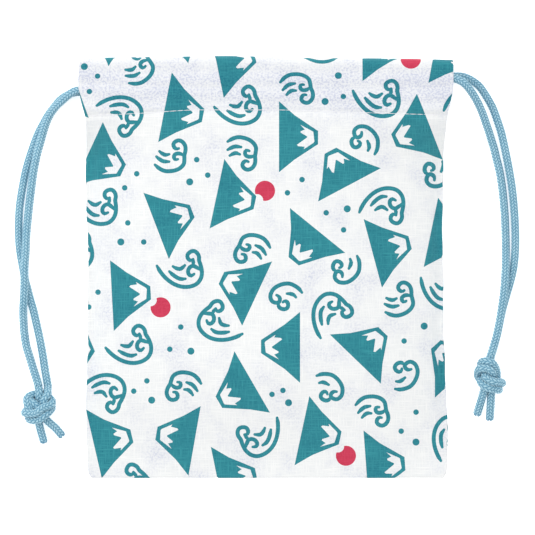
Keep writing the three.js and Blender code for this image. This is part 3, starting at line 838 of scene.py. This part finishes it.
def frames_along(line):
    """The distance along a line, and two directions square to it that turn with it and don't twist."""
    along = np.concatenate([[0], np.cumsum(np.linalg.norm(np.diff(line, axis=0), axis=1))])
    ahead = np.gradient(line, along, axis=0)
    ahead /= np.linalg.norm(ahead, axis=1)[:, None]
    side = np.empty_like(line)
    first = np.cross(ahead[0], (0, 0, 1)) if abs(ahead[0][2]) < 0.9 else np.cross(ahead[0], (1, 0, 0))
    side[0] = first / np.linalg.norm(first)
    for i in range(1, len(line)):
        across = side[i - 1] - ahead[i] * (side[i - 1] @ ahead[i])
        side[i] = across / np.linalg.norm(across)
    return along, side, np.cross(ahead, side)


def braid(lines, rings_per_pick, sides_per_column, cut_end=False):
    """The corners, faces and relief of braid laid along one or more lines.
    A ring of corners zigzags round the cord as the picks do, so each pick's edge is an edge of the mesh.
    With cut_end, the last end of each line is melted to a blunt tip, as when a braid is cut hot."""
    sides = COLUMNS * sides_per_column
    column = np.arange(sides) / sides_per_column
    across = column % 1 - 0.5
    leaning = np.where(column.astype(int) % 2 == 0, across, -across)
    rib = np.sqrt(np.clip(1 - (np.abs(across) * 2) ** 2.4, 0, 1))
    turn = 2 * np.pi * (column / COLUMNS)
    places, faces, relief = [], [], []
    start = 0
    for line in lines:
        along, side, up = frames_along(line)
        rings = round((along[-1] - PICK_SLANT) / PICK) * rings_per_pick
        ring = np.arange(rings + 1)
        at = PICK_SLANT / 2 + ring[:, None] / rings * (along[-1] - PICK_SLANT) + PICK_SLANT * leaning
        phase = (ring[:, None] / rings_per_pick + 0.5 * (column.astype(int) % 2)) % 1 - 0.5
        hump = np.sqrt(np.clip(1 - (np.abs(phase) * 2) ** 2.2, 0, 1))
        height = hump * (0.35 + 0.65 * rib)
        radius = CORD / 2 - BRAID_DEPTH * (1 - height)
        if cut_end:
            left = np.clip((along[-1] - at) / (0.5 * CORD), 0, 1)
            radius = radius * np.sqrt(1 - 0.8 * (1 - left) ** 3)
            height = height * (0.2 + 0.8 * left)
        centre, over, out = (
            np.stack([np.interp(at, along, values[:, axis]) for axis in range(3)], axis=-1)
            for values in (line, side, up)
        )
        ring_places = centre + radius[..., None] * (
            over * np.cos(turn)[None, :, None] + out * np.sin(turn)[None, :, None]
        )
        a = start + ring[:-1, None] * sides + np.arange(sides)
        b = start + ring[:-1, None] * sides + (np.arange(sides) + 1) % sides
        faces += np.stack([a, b, b + sides, a + sides], axis=-1).reshape(-1, 4).tolist()
        last = start + rings * sides
        tips = start + (rings + 1) * sides
        faces += [[tips, start + (i + 1) % sides, start + i] for i in range(sides)]
        faces += [[tips + 1, last + i, last + (i + 1) % sides] for i in range(sides)]
        end_places = np.array([ring_places[0].mean(axis=0), ring_places[-1].mean(axis=0)])
        places += [ring_places.reshape(-1, 3), end_places]
        relief += [height.ravel(), [0.2, 0.2]]
        start = tips + 2
    return np.vstack(places), faces, np.concatenate(relief)


def braid_piece(name, lines, rings_per_pick=4, sides_per_column=5, cut_end=False):
    """A braided piece, with its relief kept as an attribute that the cord's finish reads to paint highlight and
    shade.
    """
    places, faces, relief = braid(lines, rings_per_pick, sides_per_column, cut_end)
    piece = mesh_object(name, places, faces)
    attribute = piece.data.attributes.new("relief", "FLOAT", "POINT")
    attribute.data.foreach_set("value", relief.astype(np.float32))
    piece.data.materials.append(braid_finish)
    return piece


# Painted light and shade: the colour follows the relief, with a painted highlight on the yarns' tops and
# painted shade, a deeper blue, in the gaps between the picks.
braid_finish = bpy.data.materials.new("pale_blue_braid")
braid_finish.use_nodes = True
tree = braid_finish.node_tree
shader = tree.nodes["Principled BSDF"]
height = node(tree, "ShaderNodeAttribute", attribute_name="relief")
place = node(tree, "ShaderNodeTexCoord")
# The ramp paints the light: its darkest stop is painted shade for the gaps, and its lightest is a painted
# highlight for the tops.
tone = node(tree, "ShaderNodeValToRGB")
tone.color_ramp.elements[0].color = colour("447F9E")
tone.color_ramp.elements[1].color = colour("ABD1DE")
middle = tone.color_ramp.elements.new(0.6)
middle.color = colour("7AADC5")
fibre = node(tree, "ShaderNodeTexNoise")
fibre.inputs["Scale"].default_value = 9000
fibre.inputs["Detail"].default_value = 3
uneven = node(tree, "ShaderNodeTexNoise")
uneven.inputs["Scale"].default_value = 260
uneven.inputs["Detail"].default_value = 4
mixed = node(tree, "ShaderNodeMath", operation="MULTIPLY_ADD")
mixed.inputs[1].default_value = 0.34
tilt = node(tree, "ShaderNodeMath", operation="SUBTRACT")
tilt.inputs[1].default_value = 0.17
bump = node(tree, "ShaderNodeBump")
bump.inputs["Strength"].default_value = 0.35
bump.inputs["Distance"].default_value = 0.00006
tree.links.new(place.outputs["Object"], fibre.inputs["Vector"])
tree.links.new(place.outputs["Object"], uneven.inputs["Vector"])
tree.links.new(uneven.outputs["Fac"], mixed.inputs[0])
tree.links.new(height.outputs["Fac"], mixed.inputs[2])
tree.links.new(mixed.outputs["Value"], tilt.inputs[0])
tree.links.new(tilt.outputs["Value"], tone.inputs["Fac"])
tree.links.new(tone.outputs["Color"], shader.inputs["Base Color"])
tree.links.new(fibre.outputs["Fac"], bump.inputs["Height"])
tree.links.new(bump.outputs["Normal"], shader.inputs["Normal"])
shader.inputs["Roughness"].default_value = 0.62
shader.inputs["Sheen Weight"].default_value = 0.25
shader.inputs["Sheen Roughness"].default_value = 0.4

# Each strand, from the end of the casing to the knot.
LEFT_FRONT_STRAND = [
    (-0.0670, 0.0630, 0.0116), (-0.0694, 0.0619, 0.0113), (-0.0720, 0.0597, 0.0102),
    (-0.0749, 0.0570, 0.0085), (-0.0769, 0.0541, 0.0069), (-0.0782, 0.0512, 0.0056),
    (-0.0791, 0.0484, 0.0048), (-0.0799, 0.0455, 0.0044), (-0.0815, 0.0398, 0.0040),
    (-0.0826, 0.0341, 0.0036), (-0.0834, 0.0284, 0.0030), (-0.0841, 0.0227, 0.0026),
    (-0.0847, 0.0170, 0.0029), (-0.0852, 0.0112, 0.0037), (-0.0854, 0.0055, 0.0043),
    (-0.0858, -0.0002, 0.0048), (-0.0858, -0.0045, 0.0048), (-0.0859, -0.0087, 0.0046),
    (-0.0861, -0.0120, 0.0039), (-0.0863, -0.0155, 0.0026), (-0.0862, -0.0195, 0.0017),
    (-0.0859, -0.0235, 0.0016), (-0.0852, -0.0280, 0.0018), (-0.0840, -0.0320, 0.0023),
    (-0.0826, -0.0365, 0.0031), (-0.0813, -0.0405, 0.0038), (-0.0807, -0.0428, 0.0042),
]
LEFT_BACK_STRAND = [
    (-0.0670, 0.0626, 0.0024), (-0.0700, 0.0618, 0.0021), (-0.0730, 0.0599, 0.0018),
    (-0.0755, 0.0570, 0.0016), (-0.0776, 0.0541, 0.0015), (-0.0792, 0.0512, 0.0015),
    (-0.0807, 0.0484, 0.0015), (-0.0819, 0.0455, 0.0015), (-0.0839, 0.0398, 0.0015),
    (-0.0855, 0.0341, 0.0015), (-0.0866, 0.0284, 0.0015), (-0.0875, 0.0227, 0.0015),
    (-0.0879, 0.0170, 0.0015), (-0.0879, 0.0112, 0.0015), (-0.0874, 0.0055, 0.0015),
    (-0.0864, -0.0002, 0.0015), (-0.0856, -0.0045, 0.0015), (-0.0845, -0.0087, 0.0015),
    (-0.0836, -0.0120, 0.0015), (-0.0826, -0.0155, 0.0015), (-0.0817, -0.0195, 0.0015),
    (-0.0808, -0.0235, 0.0015), (-0.0799, -0.0280, 0.0016), (-0.0792, -0.0320, 0.0019),
    (-0.0785, -0.0365, 0.0023), (-0.0778, -0.0405, 0.0027), (-0.0774, -0.0428, 0.0029),
]
RIGHT_FRONT_STRAND = [
    (0.0670, 0.0674, 0.0116), (0.0700, 0.0663, 0.0114), (0.0720, 0.0646, 0.0108), (0.0736, 0.0625, 0.0099),
    (0.0753, 0.0598, 0.0086), (0.0767, 0.0570, 0.0072), (0.0779, 0.0541, 0.0058), (0.0789, 0.0512, 0.0045),
    (0.0799, 0.0484, 0.0033), (0.0808, 0.0455, 0.0024), (0.0817, 0.0427, 0.0018), (0.0824, 0.0398, 0.0015),
    (0.0838, 0.0341, 0.0015), (0.0847, 0.0284, 0.0015), (0.0853, 0.0227, 0.0015), (0.0857, 0.0170, 0.0015),
    (0.0859, 0.0112, 0.0015), (0.0860, 0.0055, 0.0019), (0.0859, -0.0002, 0.0034),
    (0.0856, -0.0050, 0.0043), (0.0852, -0.0095, 0.0047), (0.0845, -0.0145, 0.0048),
    (0.0836, -0.0200, 0.0048), (0.0825, -0.0250, 0.0050), (0.0813, -0.0290, 0.0053),
    (0.0803, -0.0321, 0.0056),
]
RIGHT_BACK_STRAND = [
    (0.0670, 0.0682, 0.0024), (0.0700, 0.0682, 0.0022), (0.0722, 0.0676, 0.0020), (0.0744, 0.0664, 0.0018),
    (0.0766, 0.0646, 0.0016), (0.0782, 0.0624, 0.0015), (0.0798, 0.0598, 0.0015), (0.0813, 0.0570, 0.0015),
    (0.0824, 0.0541, 0.0015), (0.0834, 0.0512, 0.0015), (0.0843, 0.0484, 0.0015), (0.0850, 0.0455, 0.0015),
    (0.0862, 0.0398, 0.0015), (0.0873, 0.0341, 0.0015), (0.0882, 0.0284, 0.0015), (0.0888, 0.0227, 0.0015),
    (0.0892, 0.0170, 0.0015), (0.0894, 0.0112, 0.0015), (0.0893, 0.0055, 0.0015),
    (0.0887, -0.0002, 0.0015), (0.0876, -0.0050, 0.0015), (0.0863, -0.0095, 0.0015),
    (0.0849, -0.0145, 0.0015), (0.0837, -0.0200, 0.0015), (0.0826, -0.0250, 0.0016),
    (0.0815, -0.0290, 0.0019), (0.0805, -0.0321, 0.0022),
]


# ---- Knots -----------------------------------------------------------------------------------------------
# Both ends of each cord are tied together in one overhand knot: the pair turns round itself and its ends are
# pulled through from behind. Two short tails come out of it, cut off hot. Lengths here are millimetres from
# the knot's middle. The routes are first laid loosely, and then drawn tight until the cords touch.

KNOT_CORD = 2.7
KNOT_POINTS = 90
DRAWING_STEPS = 2500
LOOSE = 1.25
LOWEST, HIGHEST = 1.5, 8.4
TOGETHER = 0.3

# The inner cord of the pair, and the outer one, from above the knot to its last bend before the tail.
INNER_LOOSE = [
    (0.8, 3.5, 4.8), (0.6, 0.5, 3.8), (-0.2, -1.4, 2.4), (-2.2, -2.2, 1.6), (-5.0, -1.6, 1.6),
    (-7.4, -1.2, 3.2), (-7.4, -1.0, 5.4), (-5.4, -0.6, 7.0), (-2.0, 0.5, 7.5), (2.0, 1.7, 7.5),
    (5.2, 2.8, 6.2), (7.0, 3.2, 4.2), (6.0, 3.8, 2.2), (3.2, 3.9, 1.5), (0.6, 4.2, 1.5), (-2.4, 3.6, 2.0),
    (-3.8, 1.8, 3.2), (-3.2, -0.6, 4.4), (-2.4, -3.4, 4.2), (-1.6, -5.8, 2.6),
]
OUTER_LOOSE = [
    (3.9, 3.6, 4.4), (3.4, 0.4, 3.9), (2.4, -2.4, 2.0), (0, -4.4, 1.5), (-3.8, -4.2, 1.6),
    (-6.6, -3.4, 3.0), (-6.8, -3.1, 5.2), (-4.8, -3.2, 6.8), (-1.5, -2.4, 7.3), (2.0, -1.4, 7.3),
    (5.0, -0.4, 6.0), (6.6, 0.3, 4.0), (5.4, 0.8, 2.0), (2.8, 1.2, 1.5), (0, 1.6, 1.6), (-1.0, 0.4, 3.0),
    (-0.6, -1.6, 4.4), (0.4, -3.8, 4.2), (2.0, -5.6, 2.8),
]


def drawn_tight(routes, cord_length):
    """Two loose routes as lines of points, shortened step by step. The cords push each other apart where they
    touch, and the two of the pair are kept side by side."""
    places = []
    for route in routes:
        line = smooth_line(route, 0.1)
        even = np.linspace(0, len(line) - 1, KNOT_POINTS)
        places.append(
            np.stack([np.interp(even, np.arange(len(line)), line[:, axis]) for axis in range(3)], axis=1)
        )
    places = np.vstack(places)
    count = len(places)
    index = np.arange(count)
    cord = index // KNOT_POINTS
    neighbours = (cord[:, None] == cord) & (np.abs(index[:, None] - index) < 7)
    first, second = np.nonzero(~neighbours & (index[:, None] < index))
    held = index[(index % KNOT_POINTS < 2) | (index % KNOT_POINTS == KNOT_POINTS - 1)]
    held_at = places[held].copy()
    inner = np.arange(6, 72)
    to_outer = np.linalg.norm(places[inner][:, None] - places[None, KNOT_POINTS:], axis=2)
    to_outer[np.abs(inner[:, None] - np.arange(KNOT_POINTS)) > 12] = 1000
    outer = KNOT_POINTS + to_outer.argmin(axis=1)
    links = index[index % KNOT_POINTS < KNOT_POINTS - 1]
    loose = np.linalg.norm(places[links + 1] - places[links], axis=1)
    tight = cord_length / (KNOT_POINTS - 1)
    between = index[(index % KNOT_POINTS > 0) & (index % KNOT_POINTS < KNOT_POINTS - 1)]
    for step in range(DRAWING_STEPS):
        wanted = loose + (tight - loose) * min(1, step / (0.6 * DRAWING_STEPS))
        bent = (places[between - 1] + places[between + 1]) / 2 - places[between]
        places[between] += 0.25 * bent
        apart = places[outer] - places[inner]
        distance = np.linalg.norm(apart, axis=1)
        pull = (TOGETHER * np.clip(distance - KNOT_CORD, 0, None) / distance)[:, None] * apart
        np.add.at(places, inner, pull)
        np.add.at(places, outer, -pull)
        apart = places[second] - places[first]
        distance = np.linalg.norm(apart, axis=1)
        close = distance < KNOT_CORD
        push = (0.35 * (KNOT_CORD - distance[close]) / distance[close])[:, None] * apart[close]
        np.add.at(places, first[close], -push)
        np.add.at(places, second[close], push)
        for _ in range(4):
            for odd in (0, 1):
                pick = links % 2 == odd
                start = links[pick]
                stretch = places[start + 1] - places[start]
                length = np.linalg.norm(stretch, axis=1)
                share = (0.5 * (length - wanted[pick]) / length)[:, None] * stretch
                places[start] += share
                places[start + 1] -= share
            places[held] = held_at
        places[:, 2] = np.clip(places[:, 2], LOWEST, HIGHEST)
    return places[:KNOT_POINTS], places[KNOT_POINTS:]


def knot(name, replaced, middle, strands, tails, cord_length, turn, nudges, turned_over=False):
    """One knot, at the ends of two strands. It starts inside their ends, so that the braid goes on. Each nudge
    is a place in the knot, how far it is pushed aside and up, and how far round it the push is felt. A knot
    that is turned over shows its back."""
    routes = []
    for loose, strand, tail in zip((INNER_LOOSE, OUTER_LOOSE), strands, tails):
        start = np.array(strand[-1]) / MM - middle
        ahead = np.array(strand[-1]) - np.array(strand[-2])
        ahead *= 1 / np.linalg.norm(ahead)
        bends = np.array(loose)
        if turned_over:
            bends = bends * (-1, 1, -1) + (0, 0, 9)
        angle = math.radians(turn)
        x, y = bends[:, 0].copy(), bends[:, 1].copy()
        bends[:, 0] = (x * math.cos(angle) - y * math.sin(angle)) * LOOSE
        bends[:, 1] = (x * math.sin(angle) + y * math.cos(angle)) * LOOSE
        bends[:, 2] = np.maximum(LOWEST, 4.5 + (bends[:, 2] - 4.5) * LOOSE)
        routes.append([start - PICK_SLANT / MM * ahead, start + ahead, *bends, *(np.array(tail) - middle)])
    tied = drawn_tight(routes, cord_length)
    for line in tied:
        for place, push, reach in nudges:
            near = np.exp(-((np.linalg.norm(line[:, :2] - place, axis=1) / reach) ** 4))
            line[:, :2] += near[:, None] * push
    lines = [smooth_line((line + middle) * MM, 0.0002) for line in tied]
    piece = braid_piece(name, lines, rings_per_pick=4, sides_per_column=5, cut_end=True)
    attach(piece, "root")
    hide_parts(replaced)
    return piece


left_knot = knot(
    "left_overhand_knot",
    "left_knot",
    middle=np.array([-81.6, -49.1, 0]),
    strands=[LEFT_FRONT_STRAND, LEFT_BACK_STRAND],
    tails=[[(-80.9, -59.1, 1.6), (-78.6, -63.0, 1.5)], [(-76.0, -57.6, 1.6), (-72.1, -60.5, 1.5)]],
    cord_length=57,
    turn=-22,
    nudges=[
        ((0.5, -4.5), (-1.9, 1.5), 8), ((-5, -6), (-1.2, 1.5), 4.5), ((-6.5, 0), (1.2, 0), 3.5),
        ((6, -2.5), (-1.1, 0), 4.5),
    ],
)
right_knot = knot(
    "right_overhand_knot",
    "right_knot",
    middle=np.array([80.2, -38.7, 0]),
    strands=[RIGHT_FRONT_STRAND, RIGHT_BACK_STRAND],
    tails=[[(80.6, -50.0, 1.6), (80.2, -54.8, 1.5)], [(77.0, -48.5, 1.6), (75.5, -53.0, 1.5)]],
    cord_length=60.5,
    turn=-10,
    nudges=[((4, -5), (0, 0.3), 4)],
    turned_over=True,
)


# ---- Drawstrings -----------------------------------------------------------------------------------------
# One cord from each side. It goes through the front casing, turns at the far end, and comes back through the
# back casing. The turn only shows from the side, in the open end of the casings.

# The stretches inside the casings, each from the strand's exit to the turn at the far end.
LEFT_FRONT_RUN = [
    (-0.060, 0.0630, 0.0116),
    (-0.030, 0.0622, 0.0116),
    (0.010, 0.0609, 0.0116),
    (0.048, 0.0600, 0.0116),
]
LEFT_BACK_RUN = [
    (-0.060, 0.0626, 0.0024),
    (-0.030, 0.0630, 0.0024),
    (0.010, 0.0638, 0.0024),
    (0.048, 0.0644, 0.0024),
]
RIGHT_FRONT_RUN = [
    (0.060, 0.0675, 0.0116),
    (0.030, 0.0673, 0.0116),
    (-0.010, 0.0669, 0.0116),
    (-0.048, 0.0664, 0.0116),
]
RIGHT_BACK_RUN = [
    (0.060, 0.0682, 0.0024),
    (0.030, 0.0689, 0.0024),
    (-0.010, 0.0709, 0.0024),
    (-0.048, 0.0725, 0.0024),
]
TURN_X = 0.056


def turn_points(front, back):
    """The half circle in which a cord leaves one casing and enters the other."""
    side = math.copysign(1, front[0])
    radius = math.hypot(front[1] - back[1], front[2] - back[2]) / 2
    points = []
    for degrees in (0, 36, 72, 108, 144, 180):
        angle = math.radians(degrees)
        share = (1 - math.cos(angle)) / 2
        y = front[1] + (back[1] - front[1]) * share
        z = front[2] + (back[2] - front[2]) * share
        points.append((side * (TURN_X + radius * math.sin(angle)), y, z))
    return points


def drawstring(side, front_strand, front_run, back_run, back_strand):
    """One cord: its two free strands, and the stretch that the casings hold."""
    held = [*front_run, *turn_points(front_run[-1], back_run[-1]), *back_run[::-1]]
    run_line = smooth_line(held, 0.0004)
    run = braid_piece(f"{side}_cord_in_casings", [run_line], rings_per_pick=2, sides_per_column=3)
    for name, strand, run_start in (("front", front_strand, front_run[0]), ("back", back_strand, back_run[0])):
        line = smooth_line([run_start, *strand], 0.0002)
        free = braid_piece(f"{side}_cord_{name}_strand", [line])
        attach(free, "root")
        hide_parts(f"{side}_drawstring")
    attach(run, "root")
    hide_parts(f"{side}_drawstring")


drawstring("left", LEFT_FRONT_STRAND, LEFT_FRONT_RUN, LEFT_BACK_RUN, LEFT_BACK_STRAND)
drawstring("right", RIGHT_FRONT_STRAND, RIGHT_FRONT_RUN, RIGHT_BACK_RUN, RIGHT_BACK_STRAND)


# ---- Floor, light and camera --------------------------------------------------------------------------------
# A white table, a soft even light all round, one large soft lamp from the upper left, and a camera that looks
# straight down on the pouch.

bpy.ops.object.select_all(action="DESELECT")
bpy.ops.mesh.primitive_plane_add(size=6, location=(0, 0, 0))
floor = bpy.context.object
floor.name = "floor"
floor_finish = bpy.data.materials.new("white_table")
floor_finish.use_nodes = True
floor_finish.node_tree.nodes["Principled BSDF"].inputs["Base Color"].default_value = (0.94, 0.94, 0.94, 1)
floor_finish.node_tree.nodes["Principled BSDF"].inputs["Roughness"].default_value = 0.9
floor_finish.node_tree.nodes["Principled BSDF"].inputs["Specular IOR Level"].default_value = 0
floor_finish.node_tree.nodes["Principled BSDF"].inputs["Emission Color"].default_value = (1, 1, 1, 1)
floor_finish.node_tree.nodes["Principled BSDF"].inputs["Emission Strength"].default_value = 0.55
floor.data.materials.append(floor_finish)

world = bpy.data.worlds.new("studio")
bpy.context.scene.world = world
world.use_nodes = True
world.node_tree.nodes["Background"].inputs["Color"].default_value = (1, 1, 1, 1)
world.node_tree.nodes["Background"].inputs["Strength"].default_value = 0.92


def lamp(name, place, size, power):
    """A square soft lamp that shines at the pouch."""
    light = bpy.data.lights.new(name, "AREA")
    light.size = size
    light.energy = power
    made = bpy.data.objects.new(name, light)
    made.location = place
    bpy.context.collection.objects.link(made)
    to_pouch = made.location.copy()
    to_pouch.negate()
    made.rotation_euler = to_pouch.to_track_quat("-Z", "Y").to_euler()
    return made


lamp("key_lamp", (-0.4, 0.5, 0.9), 1.0, 5)

camera_data = bpy.data.cameras.new("camera")
camera_data.sensor_width = 36
camera_data.lens = 753.6
camera_data.clip_start = 0.01
camera = bpy.data.objects.new("camera", camera_data)
camera.location = (0.0009, 0, 4)
bpy.context.collection.objects.link(camera)
bpy.context.scene.camera = camera
bpy.context.scene.view_settings.view_transform = "Standard"
